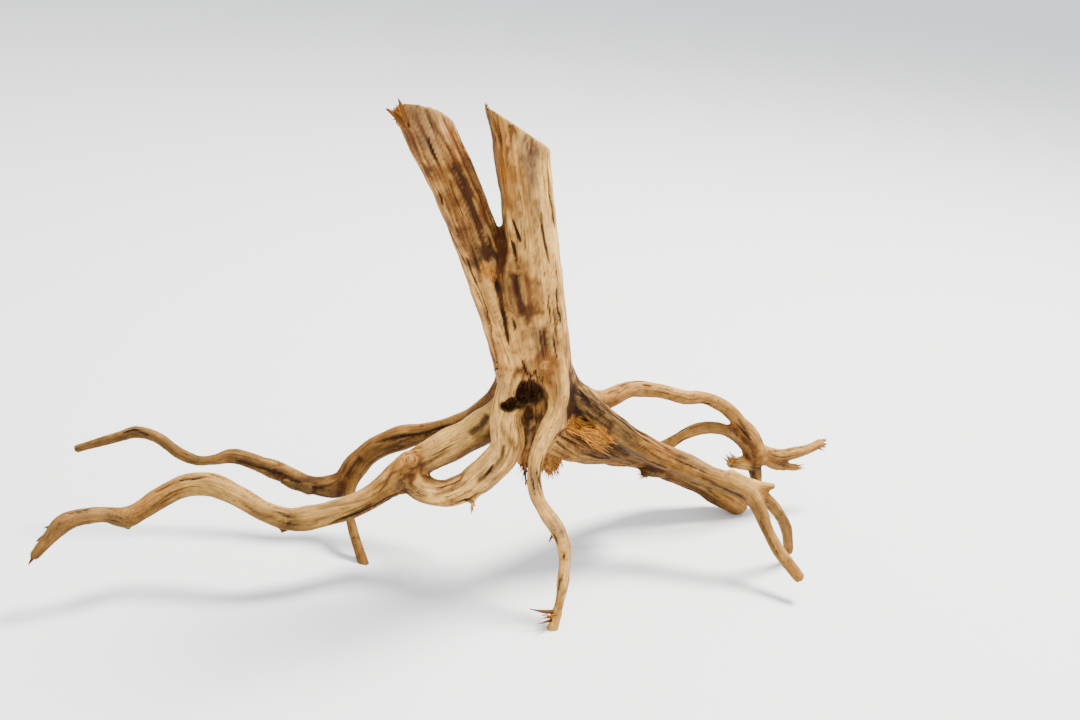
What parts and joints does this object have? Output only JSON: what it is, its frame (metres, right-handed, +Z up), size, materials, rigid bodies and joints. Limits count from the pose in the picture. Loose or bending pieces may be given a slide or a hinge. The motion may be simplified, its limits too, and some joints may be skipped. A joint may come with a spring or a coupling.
{
  "type": "spiderwood root",
  "caption": "Weathered spiderwood root with sawn stems rising from a short trunk and crooked roots that spread out and carry it at their low points.",
  "frame": {"origin": "on the floor, at the middle of the footprint's box", "axes": "+X along the longest spread of the roots, to the right seen from the front; +Y to the back; +Z up"},
  "size_m": [0.583, 0.1972, 0.325],
  "materials": {
    "weathered_wood": "dry, barkless, weathered wood"
  },
  "bodies": {
    "root": {"spiderwood_root": "weathered_wood"}
  },
  "joints": []
}
